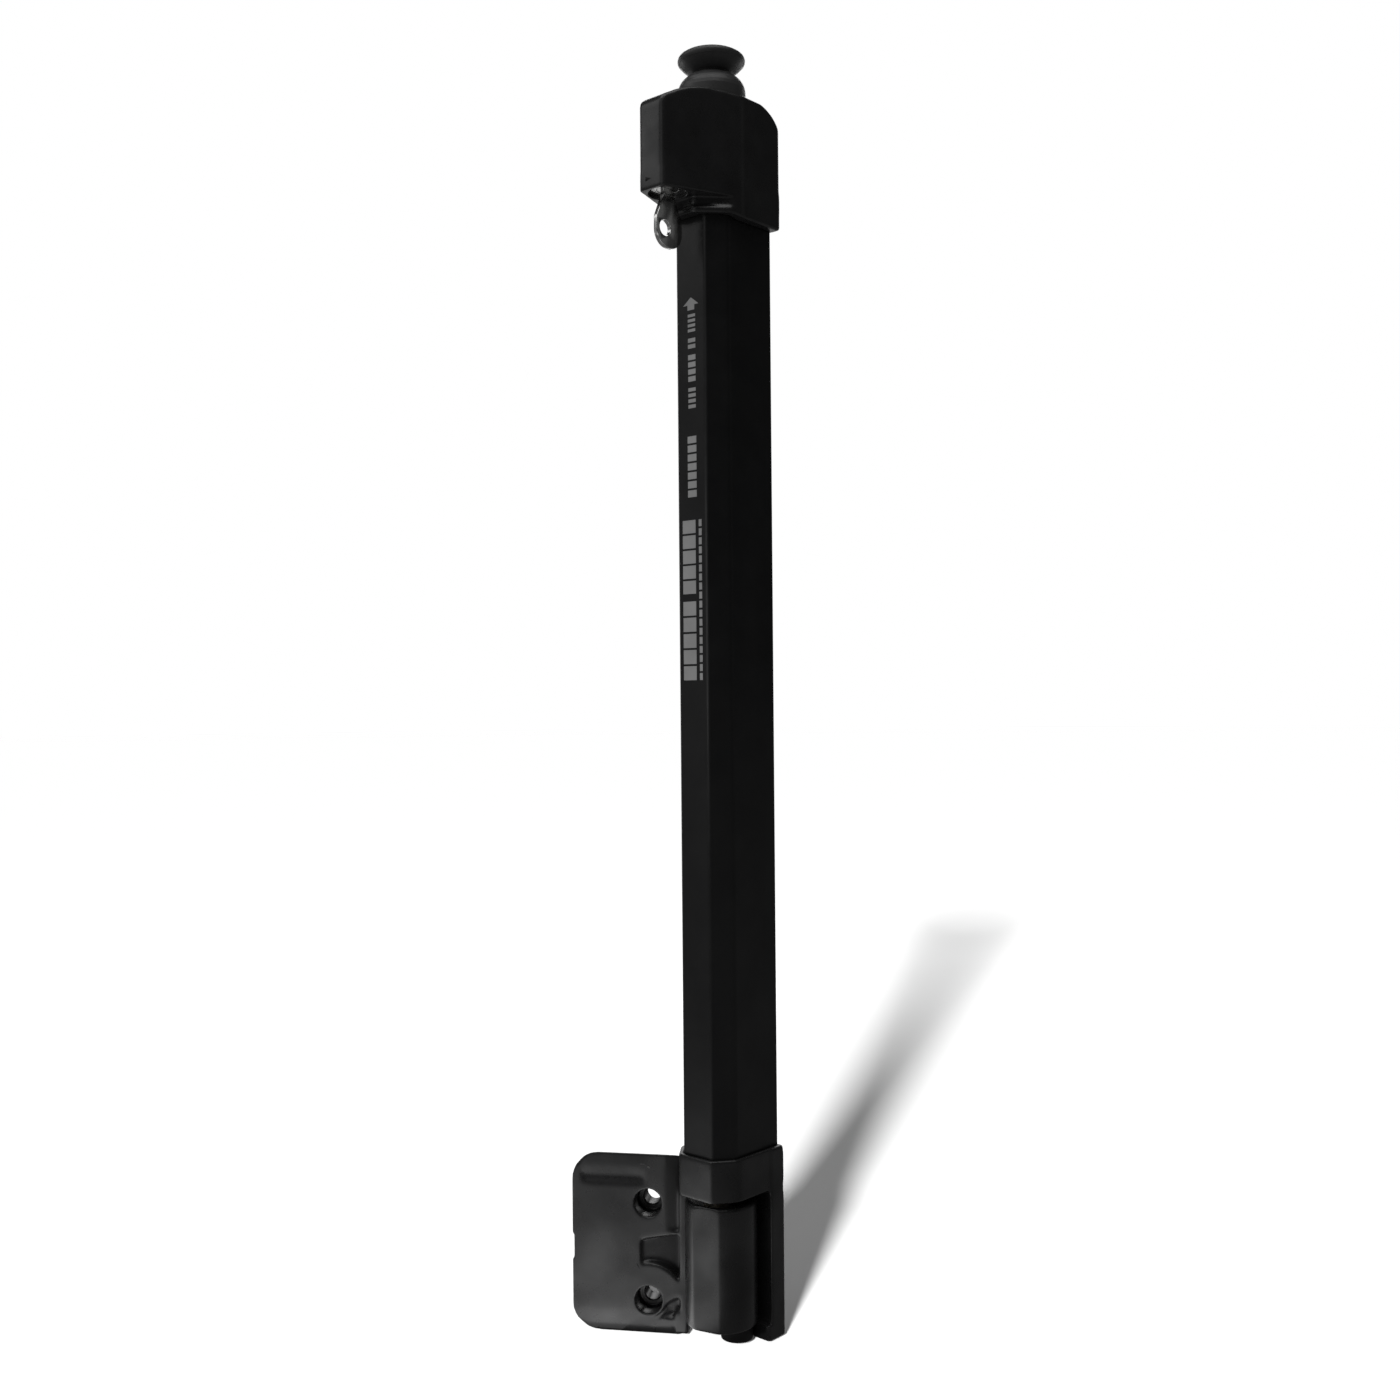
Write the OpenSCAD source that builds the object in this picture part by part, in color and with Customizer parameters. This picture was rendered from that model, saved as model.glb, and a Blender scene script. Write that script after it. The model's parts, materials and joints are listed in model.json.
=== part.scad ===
// Top-pull magnetic gate latch: a post-mounted latch body with a lift knob, key lock and pull-up
// latch pin, and the gate-mounted striker that holds the magnet and the pin socket.
// Right is +X, the mounting face points along +Y, up is +Z.

/* [Post mounting] */
// Distance from the latch pin's axis back to the mounting face
axis_to_back = 21; // [19:0.5:26]
// Width of the screw plates that go on the post
plate_w = 22; // [16:1:24]
// Thickness of the screw plates
plate_t = 3.4; // [2.5:0.1:3.8]
// Height of the lower screw plate
lower_plate_h = 50; // [44:1:56]
// Height of the upper screw plate
upper_plate_h = 27; // [24:1:29]
// Screw spacing on the lower plate
lower_pitch = 32; // [24:1:34]
// Screw spacing on the upper plate
upper_pitch = 14; // [13:1:15]
// Radius of the post screws' holes
post_hole_r = 2.6; // [2:0.1:3]
// Radius of the countersink at the plate's front
post_sink_r = 4.8; // [4:0.1:5.5]

/* [Tube] */
// Height at which the tube's lower end sits
tube_z = 64.7; // [63:0.1:67]
// Length of the tube
tube_len = 391; // [370:1:420]
// Width of the tube across its sides
tube_w = 26.6; // [25:0.2:28]
// Width of the tube's narrow front facet
tube_front_w = 14.8; // [12:0.2:17]
// Distance from the pin axis to the front facet
tube_front = 13.45; // [12:0.05:15]
// Distance from the pin axis forward to where the sides begin to slant
tube_shoulder = 5.8; // [4:0.1:7]
// Space between the tube's back and the mounting face
tube_back_gap = 0.9; // [0.7:0.1:1.5]
// Wall of the tube
tube_wall = 2; // [1.4:0.1:2.6]
// Corner radius of the tube
tube_r = 2; // [1:0.1:3]

/* [Lower housing] */
// Height of the housing's lower end over the striker's
foot_z = 1.2; // [0.6:0.1:2.5]
// How far the collar covers the tube's lower end
collar_lap = 13; // [11:0.1:17]
// How far the collar reaches below the tube
collar_drop = 4; // [3:0.1:4.6]
// Wall of the collar round the tube
collar_wall = 2.1; // [1.6:0.1:2.4]
// Depth of the back flange behind the striker barrel
flange_t = 8.4; // [7.5:0.1:8.6]
// Half width of the back flange
flange_half = 16; // [15:0.1:16.2]
// Height of the foot rib at the flange's lower end
foot_h = 7.6; // [5:0.1:8]
// How far the foot rib stands forward of the flange
foot_t = 2.2; // [1:0.1:3]

/* [Upper housing] */
// How far the skirt covers the tube's upper end
skirt_lap = 10.1; // [9.2:0.1:11.8]
// Height of the overhang's underside above the skirt's lower edge
chin_rise = 7.6; // [6.8:0.1:8.2]
// Height of the housing from the overhang's underside to its top
head_h = 41.6; // [40:0.1:46]
// Width of the housing
head_w = 36; // [34:0.5:38]
// Width of the housing's front facet
head_front_w = 12.2; // [11:0.2:14]
// Distance from the pin axis to the front facet
head_front = 35.8; // [35:0.1:38]
// Distance from the pin axis forward to where the sides slant
head_shoulder = 2.5; // [1:0.1:4]
// Wall of the housing
head_wall = 2.6; // [2.2:0.1:2.8]
// Corner radius of the front facet
head_r = 2.2; // [1.5:0.1:2.5]
// Height of the crown over the sides
head_crown = 1.2; // [0.8:0.1:1.6]
// Distance from the pin axis to the skirt's front
skirt_front = 17.9; // [17.4:0.1:18.2]
// Width of the skirt's front facet
skirt_front_w = 12; // [11:0.1:12.6]
// Distance from the pin axis forward to where the skirt's sides slant
skirt_shoulder = 4.5; // [3:0.1:5.5]
// How much higher the skirt's lower edge is in front
skirt_rise = 1.1; // [0.6:0.1:1.6]
// How far the bead round the skirt's lower front stands out
bead_out = 0.8; // [0.5:0.1:1]

/* [Knob and lift rod] */
// Radius of the knob's rim
knob_r = 13.5; // [12.5:0.1:15]
// Height of the knob from its lower face to its top
knob_h = 9.1; // [8.2:0.1:11]
// Height of the knob's rim centre above its lower face
rim_up = 5.3; // [4.8:0.1:5.8]
// Radius of the knob's hub
hub_r = 7.3; // [6.8:0.1:8]
// Height of the knob's lower face above the housing's top
hub_up = 12.1; // [10.9:0.1:14]
// Radius of the boss under the knob
boss_r = 13.6; // [12.5:0.1:14.2]
// Radius of the knob's stem
stem_r = 5; // [4:0.1:5.4]
// Radius of the stem's spring flange
flange_r = 9; // [8.4:0.1:9.2]
// Height of the flange's lower face above the overhang's underside
flange_up = 13.3; // [12:0.1:14.6]
// Thickness of the stem's flange
stem_flange_t = 2.5; // [2:0.1:3]
// Radius of the lift rod
rod_r = 3; // [2:0.1:3.4]
// Travel of the knob
lift_travel = 18; // [17:0.1:19.6]

/* [Latch pin] */
// Radius of the latch pin
pin_r = 4.5; // [3.5:0.1:5]
// How far the lifted pin clears the striker's top
pin_clear = 6.3; // [5.4:0.1:7.4]
// Height of the pin's upper end above the tube's lower end
pin_up = 31.3; // [28:0.1:45]
// Radius of the bush in the lower housing
bush_r = 7; // [6.6:0.1:7.6]

/* [Return spring] */
// Mean radius of the spring
spring_r = 7; // [6.8:0.1:7.3]
// Radius of the spring's wire
wire_r = 0.6; // [0.5:0.05:0.7]
// Number of turns
spring_turns = 9; // [6:1:11]

/* [Key lock] */
// Distance from the pin axis forward to the lock's axis
lock_front = 26.2; // [25.9:0.1:26.4]
// Radius of the lock's face
lock_face_r = 7.5; // [7.2:0.1:7.6]
// Radius of the lock's body
lock_r = 5.7; // [5.5:0.1:5.8]
// Radius of the turning plug
plug_r = 4.2; // [4:0.1:4.4]
// Radius at which the drive pin turns
throw_r = 3; // [2.8:0.1:3.1]
// Radius of the drive pin
drive_pin_r = 1.2; // [1:0.1:1.3]
// Width of the key's bow
bow_w = 14; // [13:0.5:15]
// Thickness of the key's bow
bow_t = 2; // [1.8:0.1:2.4]
// Radius of the hole in the bow
bow_hole_r = 3.1; // [3:0.1:3.5]
// Thickness of the key's blade
blade_t = 1.9; // [1.6:0.1:2.2]
// Width of the key's blade
blade_w = 6.2; // [5.6:0.1:6.6]

/* [Striker] */
// Angle of the striker round the pin, from its mounted place
striker_turn = 32.3; // [0:0.1:45]
// Radius of the striker's barrel
barrel_r = 14.5; // [14:0.1:15]
// Height of the barrel's lower edge
barrel_z = 8.9; // [8.6:0.1:11]
// Gap between the collar and the barrel's top
barrel_gap = 2.5; // [2:0.1:3.6]
// Radius kept clear in front of the back flange
barrel_back_r = 12.2; // [11.5:0.1:12.3]
// Width of the mounting block
block_w = 45.4; // [42:0.1:52]
// Height of the mounting block
block_h = 73.3; // [71:0.1:78]
// How far the block's top falls towards its back
block_fall = 6.2; // [4:0.1:8]
// Distance from the pin axis to the block's near side
block_gap = 16.8; // [16.6:0.1:18]
// Depth of the block behind the pin axis at its front face
block_front = 3.5; // [2:0.1:4.5]
// Corner radius of the block
block_r = 11; // [8:0.5:13]
// Wall of the hollow block
block_wall = 3; // [2.4:0.1:3.6]
// Distance from the block's near side to its screw holes
block_hole_in = 13.8; // [13:0.1:16]
// Height of the lower screw hole
block_hole_z = 13.8; // [13:0.1:15]
// Distance from the block's top down to the upper screw hole
block_hole_drop = 20.1; // [18.5:0.1:22]
// Radius of the block's screw holes
gate_hole_r = 3.3; // [2.5:0.1:3.4]
// Radius of the block's counterbores
gate_bore_r = 5.7; // [5:0.1:6.2]
// Depth of the block's counterbores
gate_bore_depth = 9; // [6:0.5:11]

/* [Magnet and adjuster] */
// Radius of the pin socket
socket_r = 5.5; // [5.4:0.1:6]
// Gap between the latched pin's tip and the socket's floor
socket_gap = 1.9; // [1:0.1:3]
// Radius of the barrel's inner chamber
chamber_r = 9.6; // [9.3:0.1:10]
// Radius of the magnet
magnet_r = 6.6; // [6:0.1:7]
// Height of the magnet
magnet_h = 20; // [16:1:21]
// Distance from the pin axis to the adjuster screw
adjuster_out = 6.2; // [5.6:0.1:6.4]
// Direction of the adjuster screw, from the striker's right
adjuster_dir = 20; // [0:1:40]
// Radius of the adjuster screw
adjuster_r = 2; // [1.8:0.1:2.2]

/* [Fits] */
// Radial clearance of a shaft in its bore
run_gap = 0.05; // [0.03:0.01:0.09]
// Space between faces of pieces that move past each other
face_gap = 0.35; // [0.3:0.05:0.5]

/* [Hidden] */
$fn = 64;

black = [0.07, 0.07, 0.075];
satin_black = [0.11, 0.11, 0.115];
steel = [0.72, 0.73, 0.75];
nickel = [0.85, 0.85, 0.86];
brass = [0.75, 0.6, 0.3];
nylon = [0.85, 0.84, 0.8];

origin_z = 35;
half_w = tube_w / 2;
tube_back = axis_to_back - tube_back_gap;
tube_top = tube_z + tube_len;
collar_top = tube_z + collar_lap;
collar_bottom = tube_z - collar_drop;
skirt_z = tube_top - skirt_lap;
chin_z = skirt_z + chin_rise;
head_top = chin_z + head_h;
hub_z = head_top + hub_up;
knob_rim_z = hub_z + rim_up;
knob_top = hub_z + knob_h;
flange_z = chin_z + flange_up;
barrel_top = collar_bottom - barrel_gap;
pin_tip = barrel_top + pin_clear - lift_travel;
pin_top = tube_z + pin_up;
flange_front = axis_to_back - flange_t;
chin_t = 5;
lock_y = -lock_front;
lock_z = chin_z + 1.5;
lock_flange_t = 1.8;
lock_top = lock_z + 15.4;
clip_t = 1.2;
clip_lip = 0.5;
clip_z = chin_z + chin_t;
slide_z = lock_top + 3.9;
slide_t = 1.6;
throw_y = 2 * throw_r * sin(45);
slide_tip = -(flange_r + 0.4) - throw_y;
slide_back = lock_y - throw_r * sin(45) - drive_pin_r - 1.2;
slide_half = 5;
rail_front = -19.5;
rail_depth = 4.5;
seat_z = flange_z - 27;
seat_t = 4;
guide_z = tube_z + tube_len / 2;
coupler_h = 20;
coupler_r = pin_r + 2;
rod_bottom = pin_top + 2;
stem_bottom = flange_z - 12;
rod_top = flange_z - 3;
stem_top = knob_rim_z - 1;
block_x = -block_gap - block_w;
block_depth = axis_to_back - block_front;
hole_x = -block_gap - block_hole_in;
hole_zs = [block_hole_z, block_h - block_hole_drop];
gate_boss_r = gate_bore_r + 1.4;
cover_t = 2.4;
plug_t = 3.4;
plug_boss_r = 6.4;
plug_boss_h = 7;
chamber_top = barrel_top - 3.4;
socket_floor = pin_tip - socket_gap;
carrier_z = barrel_z + plug_t + 2.4;
carrier_top = socket_floor - 2.4;
tap_z = carrier_top - magnet_h - 1;
adjuster_tip = tap_z - 2.3;
carrier_r = chamber_r - 0.3;
web_w = block_gap - 6;
web_foot_w = 2.4;
web_foot_z = 1;
adjuster_at = adjuster_out * [cos(adjuster_dir), sin(adjuster_dir)];

// Points on a circular arc from angle a0 to a1
function arc(centre, r, a0, a1, n = 8) =
    [for (i = [0:n]) centre + r * [cos(a0 + (a1 - a0) * i / n), sin(a0 + (a1 - a0) * i / n)]];

// Points on a cubic curve from a to d, past b and c
function curve(a, b, c, d, n = 10) =
    [for (i = [0:n]) let (t = i / n, s = 1 - t)
        s * s * s * a + 3 * s * s * t * b + 3 * s * t * t * c + t * t * t * d];

function unit(v) = v / norm(v);

// The arc that rounds the corner q between its neighbours p and s
function corner(p, q, s, r, n) =
    let (u = unit(p - q), w = unit(s - q), half = acos(u * w) / 2,
        c = q + unit(u + w) * r / sin(half),
        a = q + u * r / tan(half) - c, b = q + w * r / tan(half) - c,
        a0 = atan2(a.y, a.x), turn = atan2(b.y, b.x) - a0,
        sweep = turn > 180 ? turn - 360 : turn < -180 ? turn + 360 : turn)
    arc(c, r, a0, a0 + sweep, n);

// An outline with each corner rounded by its own radius
function rounded(pts, radii, n = 5) = let (count = len(pts))
    [for (i = [0:count - 1]) each radii[i] > 0
        ? corner(pts[(i + count - 1) % count], pts[i], pts[(i + 1) % count], radii[i], n) : [pts[i]]];

// The right half of a symmetric outline, front to back, and its mirror image
function both(half) =
    concat(half, [for (i = [len(half) - 1:-1:0]) [-half[i].x, half[i].y]]);
function both_radii(radii) = concat(radii, [for (i = [len(radii) - 1:-1:0]) radii[i]]);

// A convex outline whose sides move inward by d
function inset(pts, d) = let (count = len(pts))
    [for (i = [0:count - 1])
        let (p = pts[(i + count - 1) % count], q = pts[i], s = pts[(i + 1) % count],
            u = unit(q - p), w = unit(s - q), nu = [-u.y, u.x], nw = [-w.y, w.x])
        q + d * (nu + nw) / (1 + nu * nw)];

tube_half = [[tube_front_w / 2, -tube_front], [half_w, -tube_shoulder], [half_w, tube_back]];
tube_radii = both_radii([tube_r, tube_r * 2, 0.6]);
tube_pts = both(tube_half);
collar_pts = [for (p = inset(tube_pts, -collar_wall)) [p.x, min(p.y, axis_to_back)]];
function skirt_half(out) = [[(skirt_front_w + out) / 2, -skirt_front - out],
    [head_w / 2, -skirt_shoulder - out], [head_w / 2, axis_to_back]];
bead_h = 2.6;
head_half = [[head_front_w / 2, -head_front], [head_w / 2, -head_shoulder],
    [head_w / 2, axis_to_back]];
head_radii = both_radii([head_r, 9, 1]);

// The housing's side outline, from its underside up the front, over the top and down the back
head_side = concat(
    [[-head_front, chin_z - 1]],
    arc([-head_front + 4.5, head_top - 10.1], 4.5, 180, 120, 6),
    curve([-head_front + 5, head_top - 4.8], [-27, head_top - 2.4], [-20, head_top - 0.2],
        [-10, head_top], 10),
    curve([0, head_top], [9, head_top - 0.2], [17, head_top - 2],
        [axis_to_back, head_top - 8.6], 12),
    [[axis_to_back, chin_z - 1]]);

module in_frame() translate([0, -axis_to_back, -origin_z]) children();

module in_striker() in_frame() rotate([0, 0, striker_turn]) children();

module up(z) translate([0, 0, z]) children();

module prism(pts, radii, z, h) up(z) linear_extrude(h) polygon(rounded(pts, radii));

module tube_plug(z, h) prism(inset(tube_pts, tube_wall), tube_radii * 0.5, z, h);

// A solid drawn by its Y and Z outline and centred across X
module across(pts, w) translate([-w / 2, 0, 0]) rotate([90, 0, 90]) linear_extrude(w) polygon(pts);

// A bar along X, round, from x0 to x1
module bar_x(r, x0, x1, y, z) translate([x0, y, z]) rotate([0, 90, 0]) cylinder(r = r, h = x1 - x0);

// A bar along Y, round, from y0 to y1
module bar_y(r, y0, y1, x, z) translate([x, y0, z]) rotate([-90, 0, 0]) cylinder(r = r, h = y1 - y0);

module screw_plate_blank(z, h) translate([-plate_w / 2, axis_to_back - plate_t, z - h / 2])
    cube([plate_w, plate_t, h]);

module post_holes(z, pitch) for (side = [-1, 1]) {
    bar_y(post_hole_r, axis_to_back - plate_t - 1, axis_to_back + 1, 0, z + side * pitch / 2);
    translate([0, axis_to_back - plate_t - 0.01, z + side * pitch / 2]) rotate([-90, 0, 0])
        cylinder(r1 = post_sink_r, r2 = post_hole_r, h = post_sink_r - post_hole_r);
}

lower_plate_z = origin_z;
upper_plate_z = (chin_z + head_top) / 2 - 2;
set_screw_r = 1.2;
set_screw_y = axis_to_back - plate_t / 2;
set_screw_zs = [lower_plate_z, upper_plate_z];
set_screw_in = -plate_w / 2 + 4;
set_screw_out = [-flange_half + 0.5, -head_w / 2 + 0.5];
tube_screw_r = 1.5;
tube_screw_zs = [(collar_top + tube_z) / 2, (skirt_z + tube_top) / 2];
tube_screw_out = [-half_w - collar_wall, -head_w / 2];
tube_screw_y = 6;

module body_tube() color(satin_black) in_frame() difference() {
    prism(tube_pts, tube_radii, tube_z, tube_len);
    tube_plug(tube_z - 1, tube_len + 2);
    for (z = tube_screw_zs) bar_x(tube_screw_r, -half_w - 1, -half_w + tube_wall + 1, tube_screw_y, z);
}

module lower_housing() color(black) in_frame() difference() {
    union() {
        prism(collar_pts, both_radii([2, 5, 1]), collar_bottom, collar_top - collar_bottom);
        prism(both([[flange_half, flange_front], [flange_half, axis_to_back]]),
            both_radii([0, 1]), foot_z, collar_top - foot_z);
        prism(both([[flange_half, flange_front - foot_t], [flange_half, flange_front + 1]]),
            both_radii([0.8, 0]), foot_z, foot_h - foot_z);
    }
    prism(tube_pts, tube_radii, tube_z, collar_top);
    cylinder(r = adjuster_out + plug_boss_r + face_gap, h = barrel_z + face_gap);
    up(collar_bottom - 1) cylinder(r = bush_r, h = 10);
    screw_plate_blank(lower_plate_z, lower_plate_h);
    bar_x(set_screw_r, -flange_half - 1, 0, set_screw_y, lower_plate_z);
    bar_x(tube_screw_r, -half_w - 10, -half_w + 1, tube_screw_y, tube_screw_zs[0]);
    translate([tube_screw_out[0] - 0.01, tube_screw_y, tube_screw_zs[0]]) rotate([0, 90, 0])
        cylinder(r1 = tube_screw_r + 1.3, r2 = tube_screw_r, h = 1.3);
}

module head_form(wall, drop) intersection() {
    prism(inset(both(head_half), wall), head_radii * (wall > 0 ? 0.4 : 1), chin_z - 1, 60);
    up(-drop) across(inset(head_side, -wall), head_w + 10);
    crown_form(wall);
}

// The housing's gently arched top, seen from the front
module crown_form(wall) {
    half = head_w / 2;
    crown_r = (half * half + head_crown * head_crown) / (2 * head_crown);
    edge_z = head_top - head_crown;
    spread = asin(half / crown_r);
    translate([0, axis_to_back + 1, 0]) rotate([90, 0, 0]) linear_extrude(80)
        polygon(concat([[half + 1, chin_z - 5], [half + 1, edge_z]],
            arc([0, head_top - crown_r - wall], crown_r, 90 - spread, 90 + spread, 12),
            [[-half - 1, edge_z], [-half - 1, chin_z - 5]]));
}

// The skirt round the tube's upper end, kept within the housing's own outline
module skirt_form(out, h) intersection() {
    prism(both(skirt_half(out)), both_radii([3, 8, 1]), skirt_z, h);
    prism(both(head_half), head_radii, skirt_z, h);
}

module upper_housing() color(black) in_frame() difference() {
    union() {
        intersection() {
            head_form(0, 0);
            up(chin_z) translate([-50, -50, 0]) cube([100, 100, 60]);
        }
        skirt_form(0, chin_z + 1 - skirt_z);
        skirt_form(bead_out, skirt_rise + bead_h);
    }
    intersection() {
        head_form(head_wall, head_crown / 2);
        up(chin_z + chin_t) translate([-50, -50, 0]) cube([100, 50 + axis_to_back - plate_t - 1, 60]);
    }
    across([[-head_front, skirt_z - 1], [-head_front, skirt_z + skirt_rise], [-7, skirt_z + skirt_rise],
        [-1, skirt_z], [-1, skirt_z - 1]], head_w + 2);
    prism(tube_pts, tube_radii, skirt_z - 1, tube_top - skirt_z + 1);
    tube_plug(skirt_z, chin_z + chin_t - skirt_z + 1);
    screw_plate_blank(upper_plate_z, upper_plate_h);
    translate([-plate_w / 2, flange_front, upper_plate_z - upper_plate_h / 2])
        cube([plate_w, flange_t, upper_plate_h]);
    cylinder(r = stem_r + run_gap + 1, h = 600);
    translate([0, lock_y, chin_z - 1]) {
        cylinder(r = lock_face_r, h = lock_z + lock_flange_t - chin_z + 1);
        cylinder(r = lock_r, h = 20);
    }
    bar_x(set_screw_r, -head_w / 2 - 1, 0, set_screw_y, upper_plate_z);
    bar_x(tube_screw_r, -head_w, -half_w + 1, tube_screw_y, tube_screw_zs[1]);
    translate([tube_screw_out[1] - 0.01, tube_screw_y, tube_screw_zs[1]]) rotate([0, 90, 0])
        cylinder(r1 = tube_screw_r + 1.3, r2 = tube_screw_r, h = 1.3);
}

module screw_plate(z, h, pitch) difference() {
    screw_plate_blank(z, h);
    post_holes(z, pitch);
    bar_x(set_screw_r, -plate_w / 2 - 1, set_screw_in, set_screw_y, z);
}

module lower_screw_plate() color(steel) in_frame() screw_plate(lower_plate_z, lower_plate_h, lower_pitch);

module upper_screw_plate() color(steel) in_frame() screw_plate(upper_plate_z, upper_plate_h, upper_pitch);

module set_screws() color(steel) in_frame() for (i = [0, 1]) difference() {
    bar_x(set_screw_r, set_screw_out[i], set_screw_in, set_screw_y, set_screw_zs[i]);
    bar_x(set_screw_r * 0.55, set_screw_out[i] - 1, set_screw_out[i] + 1.5, set_screw_y, set_screw_zs[i]);
}

module tube_screws() color(steel) in_frame() for (i = [0, 1]) {
    reach = -half_w + tube_wall + 1 - tube_screw_out[i];
    translate([tube_screw_out[i], tube_screw_y, tube_screw_zs[i]]) rotate([0, 90, 0])
        difference() {
            rotate_extrude() polygon([[0, 0], [tube_screw_r + 1.29, 0], [tube_screw_r, 1.29],
                [tube_screw_r, reach], [0, reach]]);
            for (a = [0, 90]) rotate([0, 0, a]) translate([-2, -0.3, -1]) cube([4, 0.6, 1.7]);
        }
}

// The domed collar that the knob's stem rises through
module knob_boss() color(black) in_frame() difference() {
    rotate_extrude() polygon(concat(
        [[0, head_top - 6], [boss_r, head_top - 6], [boss_r, hub_z - 7.5]],
        curve([boss_r, hub_z - 7.5], [boss_r - 0.4, hub_z - 3.4], [hub_r + 3, hub_z - 1.8],
            [hub_r + 0.2, hub_z - face_gap], 8),
        [[0, hub_z - face_gap]]));
    up(head_top - 7) cylinder(r = stem_r + run_gap, h = 40);
    difference() {
        up(chin_z) cylinder(r = boss_r + 1, h = head_top - chin_z);
        up(chin_z) cylinder(r = stem_r + run_gap + 1, h = head_top - chin_z);
    }
    boss_seat();
}

// The housing's arched top, which the boss is cut to sit on
module boss_seat() difference() {
    intersection() {
        head_form(0, 0);
        up(chin_z) translate([-50, -50, 0]) cube([100, 100, 60]);
    }
    cylinder(r = stem_r + run_gap + 1, h = 600);
}

module pin_bush() color(brass) in_frame() difference() {
    union() {
        up(collar_bottom) cylinder(r = bush_r, h = 13);
        up(tube_z) cylinder(r = bush_r + 2, h = 2);
    }
    up(collar_bottom - 1) cylinder(r = pin_r + run_gap, h = 20);
}

module rod_guide() color(nylon) in_frame() difference() {
    tube_plug(guide_z, 6);
    up(guide_z - 1) cylinder(r = rod_r + run_gap, h = 8);
}

module spring_seat() color(nylon) in_frame() difference() {
    tube_plug(seat_z - seat_t, seat_t);
    up(seat_z - seat_t - 1) cylinder(r = rod_r + run_gap, h = seat_t + 2);
}

// A coil spring as one unbroken tube of six-sided rings
rings_per_turn = 12;
spring_rings = spring_turns * rings_per_turn;
spring_low = seat_z + wire_r + 0.05;
spring_high = flange_z - wire_r - 0.05;
spring_pitch = (spring_high - spring_low) / spring_turns;
echo(spring_gap = spring_pitch - 2 * wire_r);

function coil_point(i, k) = let (a = 360 * i / rings_per_turn, b = 60 * k,
    r = spring_r + wire_r * cos(b), z = spring_low + (spring_high - spring_low) * i / spring_rings)
    [r * cos(a), r * sin(a), z + wire_r * sin(b)];

module return_spring() color(steel) in_frame() polyhedron(
    points = [for (i = [0:spring_rings]) for (k = [0:5]) coil_point(i, k)],
    faces = concat(
        [for (i = [0:spring_rings - 1]) for (k = [0:5]) let (j = (k + 1) % 6, n = 6 * i)
            each [[n + k, n + j, n + 6 + k], [n + j, n + 6 + j, n + 6 + k]]],
        [for (k = [1:4]) [0, k + 1, k]],
        [for (k = [1:4]) let (n = 6 * spring_rings) [n, n + k, n + k + 1]]));

module knob() color(black) in_frame() difference() {
    rotate_extrude() polygon(concat(
        [[0, hub_z], [hub_r - 0.3, hub_z]],
        curve([hub_r, hub_z + 0.3], [hub_r + 2.4, hub_z + 0.9], [knob_r - 2, knob_rim_z - 3],
            [knob_r - 0.7, knob_rim_z - 1.4], 8),
        arc([knob_r - 1.8, knob_rim_z], 1.8, -40, 60, 8),
        curve([knob_r - 1.6, knob_rim_z + 2], [knob_r - 5, knob_top - 0.6], [6, knob_top],
            [0, knob_top], 10)));
    up(hub_z - 1) cylinder(r = stem_r, h = stem_top - hub_z + 1);
}

module knob_stem() color(steel) in_frame() difference() {
    rotate_extrude() polygon([[0, stem_bottom], [stem_r, stem_bottom], [stem_r, flange_z],
        [flange_r, flange_z], [flange_r, flange_z + stem_flange_t], [stem_r, flange_z + stem_flange_t],
        [stem_r, stem_top], [0, stem_top]]);
    up(stem_bottom - 1) cylinder(r = rod_r, h = rod_top - stem_bottom + 1);
    cross_pin(stem_r, (stem_bottom + rod_top) / 2);
}

module lift_rod() color(steel) in_frame() difference() {
    up(rod_bottom) cylinder(r = rod_r, h = rod_top - rod_bottom);
    cross_pin(coupler_r, rod_bottom + 4);
    cross_pin(stem_r, (stem_bottom + rod_top) / 2);
}

module rod_coupler() color(steel) in_frame() difference() {
    up(pin_top - coupler_h / 2) cylinder(r = coupler_r, h = coupler_h);
    up(pin_top - coupler_h) cylinder(r = pin_r, h = coupler_h);
    up(rod_bottom) cylinder(r = rod_r, h = coupler_h);
    cross_pin(coupler_r, pin_top - 5);
    cross_pin(coupler_r, rod_bottom + 4);
}

module latch_pin() color(steel) in_frame() difference() {
    rotate_extrude() polygon(concat([[0, pin_tip]],
        arc([pin_r - 1.2, pin_tip + 1.2], 1.2, -90, 0, 4), [[pin_r, pin_top], [0, pin_top]]));
    cross_pin(coupler_r, pin_top - 5);
}

module cross_pin(half, z) bar_x(1, -half, half, 0, z);

module cross_pins() color(steel) in_frame() {
    cross_pin(coupler_r, pin_top - 5);
    cross_pin(coupler_r, rod_bottom + 4);
    cross_pin(stem_r, (stem_bottom + rod_top) / 2);
}

module at_lock() in_frame() translate([0, lock_y, 0]) children();

module lock_body() color(nickel) at_lock() difference() {
    union() {
        up(lock_z) cylinder(r = lock_face_r, h = lock_flange_t);
        up(lock_z) cylinder(r = lock_r, h = lock_top - lock_z);
    }
    up(lock_z - 1) cylinder(r = plug_r + run_gap, h = 30);
    difference() {
        up(clip_z) cylinder(r = lock_r + 1, h = clip_t);
        up(clip_z - 1) cylinder(r = lock_r - 0.8, h = clip_t + 2);
    }
}

module lock_clip() color(steel) at_lock() difference() {
    up(clip_z) cylinder(r = lock_r + clip_lip, h = clip_t);
    up(clip_z - 1) cylinder(r = lock_r - 0.8, h = clip_t + 2);
    translate([-2, -20, clip_z - 1]) cube([4, 20, clip_t + 2]);
}

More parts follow.
